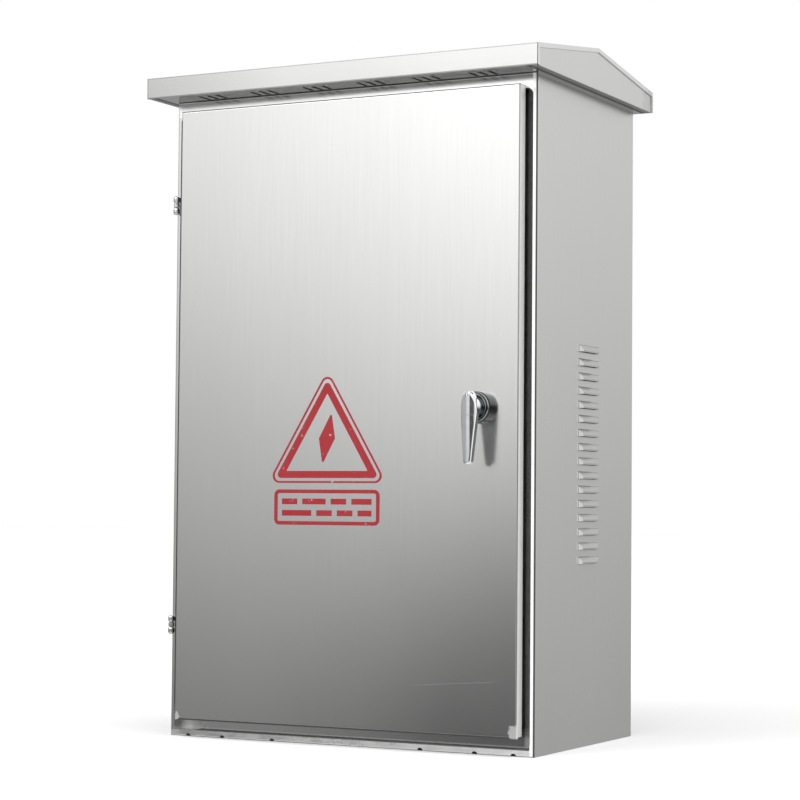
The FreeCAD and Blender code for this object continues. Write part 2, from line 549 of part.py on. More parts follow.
def gland_plate():
    """The cable entry plate on its gasket, with screws and three rubber grommets."""
    half_long = "dims.gland_long / 2 + dims.gland_lap"
    half_wide = "dims.gland_wide / 2 + dims.gland_lap"
    outline = rectangle(f"-({half_long})", half_long, f"dims.gland_y - ({half_wide})",
                        f"dims.gland_y + ({half_wide})")
    opening = rectangle("-dims.gland_long / 2", "dims.gland_long / 2",
                        "dims.gland_y - dims.gland_wide / 2", "dims.gland_y + dims.gland_wide / 2")
    screw_places = [(f"({step}) * (dims.gland_long / 2 + dims.gland_lap / 2)",
                     f"dims.gland_y {side} (dims.gland_wide / 2 + dims.gland_lap / 2)")
                    for step in ("-1", "0", "1") for side in ("-", "+")]
    holes = [(x, y, "dims.screw_radius + dims.running_gap") for x, y in screw_places]
    gasket = new_body("gland_gasket")
    prism(gasket, "gland_gasket_ring", "XY_Plane", [outline, opening], GAUGE, f"{GAUGE} * 2")
    plate = new_body("gland_plate")
    entries = [(f"({step}) * dims.cable_pitch", "dims.gland_y", "dims.grommet_radius - dims.grommet_lap")
               for step in (-1, 0, 1)]
    prism(plate, "gland_sheet", "XY_Plane", [outline], f"{GAUGE} * 2", GLAND_TOP)
    prism(plate, "gland_entries", "XY_Plane", entries + holes, f"{GAUGE} * 2", GLAND_TOP, cut=True)
    prism(gasket, "gasket_holes", "XY_Plane", holes, GAUGE, f"{GAUGE} * 2", cut=True)
    prism(PARTS["bottom_panel"], "gland_screw_holes", "XY_Plane", holes, 0, GAUGE, cut=True)
    made = []
    for index, at in enumerate(screw_places, 1):
        shank = rod(f"gland_shank{index}", "z", at, "dims.screw_radius", "dims.free_gap", GLAND_TOP)
        head = hexagon(f"gland_head{index}", "z", at, "dims.screw_corner", GLAND_TOP,
                       f"{GLAND_TOP} + dims.screw_head")
        made.append(join(f"gland_screw{index}", [shank, head]))
    group("gland_screws", made)
    for step, side in ((-1, "left"), (0, "middle"), (1, "right")):
        at = (f"({step}) * dims.cable_pitch", "dims.gland_y")
        rubber = new_body(f"grommet_{side}")
        flange_top, neck_low = f"{GLAND_TOP} + dims.grommet_tall", f"{GLAND_TOP} - dims.grommet_neck"
        prism(rubber, f"grommet_{side}_flange", "XY_Plane", [(*at, "dims.grommet_radius")],
              GLAND_TOP, flange_top)
        prism(rubber, f"grommet_{side}_neck", "XY_Plane", [(*at, "dims.grommet_radius - dims.grommet_lap")],
              neck_low, GLAND_TOP)
        prism(rubber, f"grommet_{side}_bore", "XY_Plane", [(*at, "dims.cable_radius")],
              neck_low, flange_top, cut=True)


def earth_point():
    """The earth stud on the right side sheet, standing on a welded collar."""
    wall = f"{RIGHT} - {GAUGE}"
    at = ("dims.earth_y", "dims.earth_z")
    collar_end = f"{wall} - dims.earth_collar"
    shank = rod("earth_shank", "x", at, "dims.earth_radius", f"{wall} - dims.earth_long", collar_end)
    collar = rod("earth_collar", "x", at, "dims.earth_radius + dims.earth_flange", collar_end, wall)
    keep("earth_stud", join("earth_stud", [shank, collar]))


# ---- Door ----

def door_panel():
    """The pan-shaped door skin with the hole for the lock."""
    body = new_body("door_panel")
    face = rectangle(f"-({DOOR_RIGHT})", DOOR_RIGHT, "dims.door_bottom", DOOR_TOP)
    prism(body, "pan_blank", "XZ_Plane", [face], DOOR_FACE, DOOR_REAR)
    inner = rectangle(f"-({DOOR_RIGHT} - {GAUGE})", f"{DOOR_RIGHT} - {GAUGE}",
                      f"dims.door_bottom + {GAUGE}", f"{DOOR_TOP} - {GAUGE}")
    prism(body, "pan_hollow", "XZ_Plane", [inner], DOOR_INNER, DOOR_REAR, cut=True)
    prism(body, "lock_hole", "XZ_Plane", [(HX, HZ, "dims.shank_radius + dims.running_gap")],
          DOOR_FACE, DOOR_INNER, cut=True)
    face_y = -dims.body_depth / 2 - dims.door_proud
    half_wide, bottom = dims.door_width / 2, dims.door_bottom
    top = bottom + dims.door_height
    round_edges(body, "pan_bends", "dims.bend",
                lambda at, along: abs(at.y - face_y) < NEAR
                and (abs(at.x) > half_wide - NEAR or at.z < bottom + NEAR or at.z > top - NEAR))


def door_seal():
    """A foam gasket that meets the sealing lip."""
    seal = new_body("door_gasket")
    middle_x, half = f"{LIP_X} + {GAUGE} / 2", "dims.gasket_wide / 2"
    low, high = f"dims.lip_bottom - {GAUGE} / 2", f"{LIP_TOP} + {GAUGE} / 2"
    outer = rectangle(f"-({middle_x} + {half})", f"{middle_x} + {half}",
                      f"{low} - {half}", f"{high} + {half}")
    inner = rectangle(f"-({middle_x} - {half})", f"{middle_x} - {half}",
                      f"{low} + {half}", f"{high} - {half}")
    prism(seal, "seal_ring", "XZ_Plane", [outer, inner], DOOR_INNER, f"{LIP_TIP} - dims.gasket_gap")


def door_stiffeners():
    """Two upright hat sections spot-welded inside the door."""
    for label, mid in (("door_stiffener_left", "dims.hat_left"), ("door_stiffener_right", "dims.hat_right")):
        web, foot = "dims.hat_wide / 2", "dims.hat_wide / 2 + dims.hat_foot"
        crest = f"{DOOR_INNER} + dims.hat_deep"
        half = [(web, DOOR_INNER), (foot, DOOR_INNER), (foot, f"{DOOR_INNER} + {GAUGE}"),
                (web, f"{DOOR_INNER} + {GAUGE}"), (web, crest)]
        inner_web = f"{web} - {GAUGE}"
        right = [(f"{mid} + {inner_web}", DOOR_INNER)] + [(f"{mid} + {x}", y) for x, y in half[1:]]
        left = [(f"{mid} - ({x})", y) for x, y in reversed(half[1:])]
        under = [(f"{mid} - ({inner_web})", DOOR_INNER), (f"{mid} - ({inner_web})", f"{crest} - {GAUGE}"),
                 (f"{mid} + {inner_web}", f"{crest} - {GAUGE}")]
        hat = new_body(label)
        prism(hat, f"{label}_hat", "XY_Plane", [right + left + under],
              "dims.door_bottom + dims.hat_margin", f"{DOOR_TOP} - dims.hat_margin")


def sign_triangle(inset):
    """The sign's triangle with each side moved inwards."""
    inner_radius = ("dims.sign_side * dims.sign_tall / "
                    "(dims.sign_side + 2 * sqrt((dims.sign_side / 2) ^ 2 + dims.sign_tall ^ 2))")
    scale = f"(1 - {inset} / ({inner_radius}))"
    low = f"dims.sign_z + {inset}"
    half = f"{scale} * dims.sign_side / 2"
    return [(f"dims.sign_x - {half}", low), (f"dims.sign_x + {half}", low),
            ("dims.sign_x", f"{low} + {scale} * dims.sign_tall")]


def label_frame(inset):
    """The label's rectangle with each side moved inwards."""
    half, top = f"(dims.label_wide / 2 - {inset})", "dims.sign_z - dims.label_gap"
    return rectangle(f"dims.sign_x - {half}", f"dims.sign_x + {half}",
                     f"{top} - dims.label_tall + {inset}", f"{top} - {inset}")


def printed_shape(name, loops, outer_round, inner_round=None):
    """A thin shape on the door's face: a patch, or a band where there are two loops."""
    body = doc.addObject("PartDesign::Body", name)
    prism(body, f"{name}_print", "XZ_Plane", loops, f"{DOOR_FACE} - dims.sign_gauge", DOOR_FACE)
    extent = body.Shape.BoundBox

    def outside(at):
        return (at.z < extent.ZMin + NEAR or at.z > extent.ZMax - NEAR
                or at.x < extent.XMin + NEAR or at.x > extent.XMax - NEAR)

    if inner_round:
        round_edges(body, f"{name}_inside", inner_round,
                    lambda at, along: abs(along.y) > ALONG and not outside(at))
    round_edges(body, f"{name}_outside", outer_round,
                lambda at, along: abs(along.y) > ALONG and outside(at))
    return body


def door_marks():
    """A plain triangular mark round a lozenge, and below it a framed plate of plain bars."""
    outline = printed_shape("mark_outline", [sign_triangle("0"), sign_triangle("dims.mark_line")],
                            "dims.mark_round", "dims.mark_round_in")
    band = printed_shape("mark_band", [sign_triangle("dims.band_out"), sign_triangle("dims.band_in")],
                         "dims.band_round", "dims.band_round_in")
    middle = "dims.sign_z + dims.lozenge_z"
    lozenge = printed_shape("mark_lozenge", [[
        ("dims.sign_x + dims.lozenge_lean", f"{middle} + dims.lozenge_tall / 2"),
        ("dims.sign_x + dims.lozenge_wide / 2", middle),
        ("dims.sign_x - dims.lozenge_lean", f"{middle} - dims.lozenge_tall / 2"),
        ("dims.sign_x - dims.lozenge_wide / 2", middle)]], "dims.lozenge_round")
    group("door_sign", [outline, band, lozenge])
    frame = printed_shape("label_frame", [label_frame("0"), label_frame("dims.label_line")],
                          "dims.label_round", "dims.label_round_in")
    bars = []
    half = "dims.label_wide / 2 - dims.label_margin"
    bar_mid = "dims.sign_z - dims.label_gap - dims.label_tall / 2"
    for row, starts in enumerate(LABEL_BARS):
        for index, (start, end) in enumerate(starts):
            z = f"{bar_mid} + dims.bar_pitch * {0.5 - row}"
            span = (f"dims.sign_x + ({half}) * {start}", f"dims.sign_x + ({half}) * {end}")
            bars.append(box(f"bar_{row}_{index}", span, (f"{DOOR_FACE} - dims.sign_gauge", DOOR_FACE),
                            (f"{z} - dims.bar_tall / 2", f"{z} + dims.bar_tall / 2")))
    group("door_label", [frame, *bars])


# ---- Hinges ----

def hinge_lobe(body, name, at, low, high):
    """A hinge knuckle: a short barrel with domed ends."""
    prism(body, f"{name}_lobe", "XY_Plane", [(*at, "dims.hinge_radius")], low, high)
    round_edges(body, f"{name}_domes", "dims.hinge_dome", lambda point, along: abs(along.z) < ALONG)


def hinges():
    """Two bullet hinges: a lower knuckle and pin on the body, a ring, an upper knuckle on the door."""
    pins, rings = [], []
    at = (f"-({RIGHT}) + dims.hinge_inset", HINGE_Y)
    half_ring, bore_radius = "dims.hinge_ring / 2", "dims.pin_radius + dims.running_gap"
    for level, side in (("upper", 1), ("lower", -1)):
        mid = f"({DOOR_MID} + {side} * dims.hinge_spacing / 2)"
        base = new_body(f"hinge_base_{level}")
        low, high = f"{mid} - {half_ring} - dims.hinge_lobe", f"{mid} - {half_ring}"
        hinge_lobe(base, f"base_{level}", at, low, high)
        foot = rectangle(f"-({RIGHT})", f"-({RIGHT}) + dims.hinge_foot", HINGE_Y, FRONT)
        prism(base, f"base_foot_{level}", "XY_Plane", [foot], f"{low} + dims.hinge_relief",
              f"{high} - dims.hinge_relief")
        prism(base, f"base_bore_{level}", "XY_Plane", [(*at, bore_radius)], f"{low} + dims.hinge_floor",
              high, cut=True)
        leaf = new_body(f"hinge_leaf_{level}")
        low, high = f"{mid} + {half_ring}", f"{mid} + {half_ring} + dims.hinge_lobe"
        hinge_lobe(leaf, f"leaf_{level}", at, low, high)
        tab = rectangle(f"-({RIGHT}) + dims.hinge_inset", f"-({DOOR_RIGHT})",
                        f"{HINGE_Y} - dims.hinge_tab / 2", f"{HINGE_Y} + dims.hinge_tab / 2")
        prism(leaf, f"leaf_tab_{level}", "XY_Plane", [tab], f"{low} + dims.hinge_relief",
              f"{high} - dims.hinge_relief")
        prism(leaf, f"leaf_bore_{level}", "XY_Plane", [(*at, bore_radius)], low, f"{high} - dims.hinge_cap",
              cut=True)
        pins.append(rod(f"hinge_pin_{level}", "z", at, "dims.pin_radius",
                        f"{mid} - dims.pin_low", f"{mid} + dims.pin_high"))
        disc = rod(f"ring_disc_{level}", "z", at, "dims.ring_radius",
                   f"{mid} - {half_ring}", f"{mid} + {half_ring} - dims.running_gap")
        bore = rod(f"ring_bore_{level}", "z", at, bore_radius, f"{mid} - {half_ring}",
                   f"{mid} + {half_ring}")
        rings.append(cut(f"hinge_ring_{level}", disc, bore))
    group("hinge_pins", pins)
    group("hinge_rings", rings)


# ---- Lock and handle ----

def lock_body():
    """The fixed boss through the door, and the round nut that clamps it."""
    boss = new_body("lock_boss")
    shank_end = f"{CAM_FRONT} - dims.shank_gap"
    prism(boss, "boss_head", "XZ_Plane", [(HX, HZ, "dims.boss_radius")], BOSS_FACE, DOOR_FACE)
    prism(boss, "boss_shank", "XZ_Plane", [(HX, HZ, "dims.shank_radius")], DOOR_FACE, shank_end)
    prism(boss, "boss_bore", "XZ_Plane", [(HX, HZ, "dims.spindle_radius + dims.running_gap")],
          BOSS_FACE, shank_end, cut=True)
    face_y = -dims.body_depth / 2 - dims.door_proud - dims.boss_height
    rim = dims.boss_radius - NEAR
    round_edges(boss, "boss_round", "dims.boss_round", lambda at, along: abs(at.y - face_y) < NEAR
                and math.hypot(at.x - dims.handle_x, at.z - dims.handle_z) > rim)
    nuts("lock_nut", [(HX, HZ)], "y", DOOR_INNER, f"{DOOR_INNER} + dims.lock_nut", "dims.shank_radius",
         "dims.lock_nut_corner")


def draw_lever(sketch):
    """A drop: bowed shoulders rise from the seam to a round tip, and straight sides run to the tail.

    The arcs and lines start near their places; the constraints set them.
    """
    x, seam = dims.handle_x, dims.handle_z - dims.cover_drop
    head, tip, tail = dims.lever_head, dims.lever_tip, dims.lever_tail
    tip_z = dims.handle_z + dims.lever_top - tip
    tail_z = dims.handle_z - dims.lever_drop + tail
    lean, lift, bow = math.atan2(head - tail, seam - tail_z), math.radians(27), 45

    def arc(centre_x, centre_z, radius, start, end):
        circle = Part.Circle(Vector(centre_x, centre_z, 0), Vector(0, 0, 1), radius)
        return sketch.addGeometry(Part.ArcOfCircle(circle, start, end), False)

    def line(start, end):
        return sketch.addGeometry(Part.LineSegment(Vector(*start, 0), Vector(*end, 0)), False)

    right_bow = arc(x + head - bow, seam + bow * lean, bow, -lean, lift)
    top = arc(x, tip_z, tip, lift, math.pi - lift)
    left_bow = arc(x - head + bow, seam + bow * lean, bow, math.pi - lift, math.pi + lean)
    left = line((x - head, seam), (x - tail, tail_z))
    bottom = arc(x, tail_z, tail, math.pi + lean, 2 * math.pi - lean)
    right = line((x + tail, tail_z), (x + head, seam))
    outline = [right_bow, top, left_bow, left, bottom, right]
    pin_point(sketch, top, 3, HX, f"{HZ} + dims.lever_top - dims.lever_tip", (x, tip_z))
    pin_point(sketch, bottom, 3, HX, f"{HZ} - dims.lever_drop + dims.lever_tail", (x, tail_z))
    pin_point(sketch, left, 1, f"{HX} - dims.lever_head", f"{HZ} - dims.cover_drop", (x - head, seam))
    pin_point(sketch, right, 2, f"{HX} + dims.lever_head", f"{HZ} - dims.cover_drop", (x + head, seam))
    for curve, radius, near in ((top, "dims.lever_tip", tip), (bottom, "dims.lever_tail", tail)):
        index = sketch.addConstraint(Sketcher.Constraint("Radius", curve, near))
        sketch.setExpression(f"Constraints[{index}]", radius)
    for curve, following in zip(outline, outline[1:] + outline[:1]):
        sketch.addConstraint(Sketcher.Constraint("Tangent", curve, 2, following, 1))


def draw_grip(body, name):
    """The grip: the drop outline with a curved front, a back that thins to the tail, and round edges."""
    sketch = new_sketch(body, f"{name}_outline", "XZ_Plane", f"-({NECK_FACE})")
    draw_lever(sketch)
    pad = body.newObject("PartDesign::Pad", f"{name}_pad")
    pad.Profile = sketch
    pad.setExpression("Length", "dims.lever_thick")
    doc.recompute()
    across = rectangle(GRIP_LEFT, GRIP_RIGHT, f"{LEVER_FACE} - dims.tool_reach",
                       f"{LEVER_FACE} + 2 * dims.lever_crown + dims.tool_reach")
    crown = (HX, f"{LEVER_FACE} + dims.lever_crown", "dims.lever_crown")
    prism(body, f"{name}_crown", "XY_Plane", [across, crown], GRIP_LOW, GRIP_HIGH, cut=True)
    tail_z = f"{HZ} - dims.lever_drop - dims.overcut"
    wedge = [(NECK_FACE, f"{HZ} - dims.neck_radius - dims.overcut"), (f"{NECK_FACE} + dims.overcut", tail_z),
             (f"{NECK_FACE} - dims.lever_thin", tail_z)]
    prism(body, f"{name}_back", "YZ_Plane", [wedge], GRIP_LEFT, GRIP_RIGHT, cut=True)
    crown_y = -(dims.body_depth / 2 + dims.door_proud + dims.boss_height + dims.neck_height
                + dims.lever_thick - dims.lever_crown)
    front_y = crown_y - math.sqrt(dims.lever_crown ** 2 - dims.lever_head ** 2) + NEAR
    round_edges(body, f"{name}_front_round", "dims.lever_round",
                lambda at, along: at.y < front_y and abs(along.y) < ALONG)


def lever_and_cover():
    """The hanging lever, and the flap over its keyhole, which tips up on a pin through an ear."""
    lever = new_body("handle_lever")
    draw_grip(lever, "lever")
    prism(lever, "lever_neck", "XZ_Plane", [(HX, HZ, "dims.neck_radius")],
          f"{BOSS_FACE} - dims.neck_height", f"{BOSS_FACE} - dims.free_gap")
    before = f"{LEVER_FACE} - dims.overcut"
    seat_low = f"{HZ} - dims.cover_drop"
    seat = rectangle(GRIP_LEFT, GRIP_RIGHT, seat_low, GRIP_HIGH)
    cover_seat = f"{LEVER_FACE} + dims.cover_thick + dims.free_gap"
    prism(lever, "cover_seat", "XZ_Plane", [seat], before, cover_seat, cut=True)
    prism(lever, "plug_bore", "XZ_Plane", [(HX, HZ, "dims.plug_radius + dims.running_gap")],
          before, f"{LEVER_FACE} + dims.lever_thick", cut=True)
    ear_z = f"{HZ} + dims.lever_top - dims.ear_inset"
    ear = rectangle(f"{HX} - dims.ear_wide / 2", f"{HX} + dims.ear_wide / 2",
                    f"{ear_z} - dims.ear_tall / 2", f"{ear_z} + dims.ear_tall / 2")
    prism(lever, "cover_ear", "XZ_Plane", [ear], f"{LEVER_FACE} + dims.ear_sunk",
          f"{cover_seat} + dims.overcut")
    pin_y = f"{LEVER_FACE} + dims.cover_thick / 2 + dims.cover_pin_sunk"
    pin_bore = (pin_y, ear_z, "dims.cover_pin + dims.running_gap")
    prism(lever, "ear_bore", "YZ_Plane", [pin_bore], GRIP_LEFT, GRIP_RIGHT, cut=True)
    sweep = (pin_y, ear_z, "dims.cover_sweep")
    for side, low, high in (("left", GRIP_LEFT, f"{HX} - dims.ear_wide / 2"),
                            ("right", f"{HX} + dims.ear_wide / 2", GRIP_RIGHT)):
        prism(lever, f"cover_sweep_{side}", "YZ_Plane", [sweep], low, high, cut=True)

    cover = new_body("key_cover")
    draw_grip(cover, "cover")
    behind = rectangle(GRIP_LEFT, GRIP_RIGHT, GRIP_LOW, GRIP_HIGH)
    prism(cover, "cover_back", "XZ_Plane", [behind], f"{LEVER_FACE} + dims.cover_thick",
          f"{NECK_FACE} + dims.overcut", cut=True)
    below = rectangle(GRIP_LEFT, GRIP_RIGHT, GRIP_LOW, f"{seat_low} + dims.free_gap")
    prism(cover, "cover_end", "XZ_Plane", [below], before, f"{cover_seat} + dims.overcut", cut=True)
    notch_half = "dims.ear_wide / 2 + dims.free_gap"
    notch = rectangle(f"{HX} - ({notch_half})", f"{HX} + {notch_half}", f"{ear_z} - dims.ear_tall", GRIP_HIGH)
    prism(cover, "cover_notch", "XZ_Plane", [notch], before, f"{cover_seat} + dims.overcut", cut=True)
    prism(cover, "cover_bore", "YZ_Plane", [pin_bore], GRIP_LEFT, GRIP_RIGHT, cut=True)
    keep("cover_pin", rod("cover_pin", "x", (pin_y, ear_z), "dims.cover_pin",
                          f"{HX} - dims.cover_pin_long / 2", f"{HX} + dims.cover_pin_long / 2"))

    plug = new_body("key_plug")
    prism(plug, "plug_barrel", "XZ_Plane", [(HX, HZ, "dims.plug_radius")],
          f"{cover_seat} + dims.free_gap", f"{LEVER_FACE} + dims.lever_thick")
    keyway = rectangle(f"{HX} - dims.key_wide / 2", f"{HX} + dims.key_wide / 2",
                       f"{HZ} - dims.key_tall / 2", f"{HZ} + dims.key_tall / 2")
    prism(plug, "plug_keyway", "XZ_Plane", [keyway], cover_seat, f"{cover_seat} + dims.key_deep", cut=True)


def turning_parts():
    """What turns with the lever: the spindle, the tongue on its screw, and the crank pins."""
    keep("handle_spindle", rod("handle_spindle", "y", (HX, HZ), "dims.spindle_radius",
                               f"{BOSS_FACE} - dims.free_gap", CAM_FRONT))
    tongue = new_body("lock_tongue")
    prism(tongue, "tongue_hub", "XZ_Plane", [(HX, HZ, "dims.cam_hub")], CAM_FRONT, CAM_REAR)
    arm = rectangle(f"{HX} - dims.cam_wide / 2", f"{HX} + dims.cam_wide / 2", HZ, f"{HZ} + dims.cam_reach")
    prism(tongue, "tongue_arm", "XZ_Plane", [arm], CAM_FRONT, CAM_REAR)
    prism(tongue, "tongue_bore", "XZ_Plane", [(HX, HZ, "dims.bolt_radius + dims.running_gap")],
          CAM_FRONT, CAM_REAR, cut=True)
    tip_z = dims.handle_z + dims.cam_reach
    round_edges(tongue, "tongue_corners", "dims.cam_round",
                lambda at, along: abs(along.y) > ALONG and at.z > tip_z - NEAR)
    shank = rod("tongue_screw_shank", "y", (HX, HZ), "dims.bolt_radius", CAM_FRONT, CAM_REAR)
    head = hexagon("tongue_screw_head", "y", (HX, HZ), "dims.cam_screw_corner", CAM_REAR,
                   f"{CAM_REAR} + dims.cam_screw_head")
    keep("tongue_screw", join("tongue_screw", [shank, head]))
    pin_end = f"{ROD_REAR} + dims.crank_gap"
    group("crank_pins", [
        rod(f"crank_pin_{level}", "y", (f"{HX} {side} {CRANK_SIDE}", f"{HZ} {side} {CRANK_SIDE}"),
            "dims.crank_pin", CAM_REAR, pin_end)
        for level, side in (("upper", "-"), ("lower", "+"))])


def rods():
    """Flat locking rods above and below the handle, each with a cross slot for its crank pin.

    The cabinet is drawn unlocked: the upper rod's pin is low on the left of the spindle and the
    lower rod's is high on the right, so a quarter turn of the lever drives both rods outward.
    """
    half_slot = "dims.crank * (1 - cos(45)) / 2 + dims.crank_pin + dims.slot_end"
    for label, side in (("rod_upper", "-"), ("rod_lower", "+")):
        x = f"{HX} {side} {ROD_OFFSET}"
        pin_z = f"{HZ} {side} {CRANK_SIDE}"
        if label == "rod_upper":
            low, high = f"{pin_z} - dims.rod_end", "dims.rod_top"
        else:
            low, high = "dims.rod_bottom", f"{pin_z} + dims.rod_end"
        bar = new_body(label)
        flat = rectangle(f"{x} - dims.rod_wide / 2", f"{x} + dims.rod_wide / 2", low, high)
        prism(bar, f"{label}_bar", "XZ_Plane", [flat], ROD_FRONT, ROD_REAR)
        slot = rectangle(f"{x} - ({half_slot})", f"{x} + {half_slot}",
                         f"{pin_z} - dims.crank_pin - dims.crank_gap",
                         f"{pin_z} + dims.crank_pin + dims.crank_gap")
        prism(bar, f"{label}_slot", "XZ_Plane", [slot], ROD_FRONT, ROD_REAR, cut=True)
        round_edges(bar, f"{label}_corners", "dims.rod_round",
                    lambda at, along: abs(along.y) > ALONG
                    and (at.z > dims.rod_top - NEAR or at.z < dims.rod_bottom + NEAR))


def rod_guides():
    """Brackets on the door's inner face that the rods slide through."""
    for label, side, level in (("rod_guide_top", "-", f"{DOOR_TOP} - dims.guide_end"),
                               ("rod_guide_high", "-", f"{HZ} + dims.guide_near"),
                               ("rod_guide_low", "+", f"{HZ} - dims.guide_near"),
                               ("rod_guide_bottom", "+", "dims.door_bottom + dims.guide_end")):
        x = f"{HX} {side} {ROD_OFFSET}"
        block = box(f"{label}_block", (f"{x} - dims.guide_wide / 2", f"{x} + dims.guide_wide / 2"),
                    (DOOR_INNER, f"{ROD_REAR} + dims.guide_skin"), (level, f"{level} + dims.guide_tall"))
        through = (f"{level} - dims.overcut", f"{level} + dims.guide_tall + dims.overcut")
        half_path = "(dims.rod_wide / 2 + dims.free_gap)"
        path = box(f"{label}_path", (f"{x} - {half_path}", f"{x} + {half_path}"),
                   (f"{ROD_FRONT} - dims.free_gap", f"{ROD_REAR} + dims.free_gap"), through)
        relief = box(f"{label}_relief", (f"{x} - dims.guide_relief / 2", f"{x} + dims.guide_relief / 2"),
                     (f"{DOOR_INNER} + dims.guide_skin", f"{ROD_FRONT} - dims.guide_skin - dims.free_gap"),
                     through)
        keep(label, cut(label, block, join(f"{label}_voids", [path, relief])))


louvred_side("side_panel_left", -1)
louvred_side("side_panel_right", 1)
back_and_ends()
gutter_frame()
roof()
roof_fixings()
mounting_plate()
gland_plate()
earth_point()
door_panel()
door_seal()
door_stiffeners()
door_marks()
hinges()
lock_body()
lever_and_cover()
turning_parts()
rods()
rod_guides()
doc.recompute()

for item in doc.Objects:
    if {"Invalid", "Error"} & set(item.State):
        raise ValueError(f"{item.Name} failed: {item.State}")
for label, item in PARTS.items():
    if item.Shape.isNull() or not item.Shape.isValid() or not item.Shape.Solids:
        raise ValueError(f"{label} is not a valid solid")

os.makedirs("parts", exist_ok=True)
for label, item in PARTS.items():
    item.Shape.exportStep(f"parts/{label}.step")
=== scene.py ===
import json
import math

import bmesh
import bpy
from mathutils import Matrix, Vector


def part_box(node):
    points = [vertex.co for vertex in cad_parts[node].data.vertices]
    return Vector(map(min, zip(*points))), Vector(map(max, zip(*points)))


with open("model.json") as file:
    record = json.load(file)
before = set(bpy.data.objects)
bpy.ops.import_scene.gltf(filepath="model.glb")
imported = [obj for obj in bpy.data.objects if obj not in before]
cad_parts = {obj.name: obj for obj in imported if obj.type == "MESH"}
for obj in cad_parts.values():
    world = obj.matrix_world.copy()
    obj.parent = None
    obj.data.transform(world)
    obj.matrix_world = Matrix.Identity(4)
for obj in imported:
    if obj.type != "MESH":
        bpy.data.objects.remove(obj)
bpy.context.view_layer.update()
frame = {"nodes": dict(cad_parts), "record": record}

CAMERA_PLACE = (1.350, -2.592, 0.288)
CAMERA_AZIMUTH, CAMERA_TILT, CAMERA_ROLL = 27.63, 2.68, 0.48  # degrees
CAMERA_LENS, CAMERA_SENSOR = 103.4, 36  # millimetres
# The studio's brightness by the sine of the elevation, from straight down (-1) to straight up (1).
FRONT_LEVELS = ((-1.0, 0.90), (-0.36, 0.90), (-0.2, 0.22), (-0.13, 0.18), (-0.095, 0.28), (-0.056, 0.41),
                (0.0, 0.57), (0.057, 0.76), (0.117, 1.03), (0.17, 1.20), (0.25, 1.30), (1.0, 1.5))
BACK_LEVELS = ((-1.0, 0.85), (-0.35, 0.80), (-0.2, 0.45), (-0.12, 0.44), (0.0, 0.70), (0.12, 0.96),
               (0.24, 1.05), (1.0, 1.5))
DARK_PATCH, DARK_PATCH_REACH = (-0.35, -0.925, -0.14), 0.185  # a direction, and how far it spreads
FLAG_BEARINGS, PANEL_BEARINGS = (8, 54), (84, 122)  # degrees from straight in front, to the right
PANEL_LEVEL = 1.35
KEY_PLACE, KEY_TARGET = (-1.6, -2.6, 2.6), (0, 0, 0.5)
KEY_WIDTH, KEY_HEIGHT, KEY_POWER = 2.4, 1.6, 40  # metres, metres and watts
# Finishes that several parts share.
SHEET_TINT = (1, 1, 0.985)  # stainless sheet is slightly warm
LINISHED_AND_SHEEN = (0.95, 0.95, 0.94)  # a linished or scratched face; on the frame's rim, foot and gutter it is partly a painted highlight
FOLD_SHADE = (0.22, 0.22, 0.215)  # the painted shade line along a fold, standing in for its dark reflection
EDGE_SHADE, SOFT_SHADE = (0.05, 0.05, 0.05), (0.08, 0.08, 0.08)  # the painted shade along an edge or in a gap
GRAIN_FINE, GRAIN_LONG = 700, 14  # cells of grain in a metre, across it and along it
FOLD_REACH, BOSS_RING, SCRATCH_WIDTH = 0.0017, 0.0028, 0.0003  # metres


# ---- Camera, lights and floor ----

def make_camera():
    """A long lens low in front of the cabinet and to its right, tilted slightly up."""
    data = bpy.data.cameras.new("camera")
    data.lens = CAMERA_LENS
    data.sensor_width = CAMERA_SENSOR
    data.clip_end = 60
    camera = bpy.data.objects.new("camera", data)
    bpy.context.scene.collection.objects.link(camera)
    azimuth, tilt, roll = (math.radians(part) for part in (CAMERA_AZIMUTH, CAMERA_TILT, CAMERA_ROLL))
    turn = Matrix.Rotation(azimuth, 4, "Z") @ Matrix.Rotation(math.pi / 2 + tilt, 4, "X")
    camera.matrix_world = Matrix.Translation(CAMERA_PLACE) @ turn @ Matrix.Rotation(roll, 4, "Z")
    bpy.context.scene.camera = camera


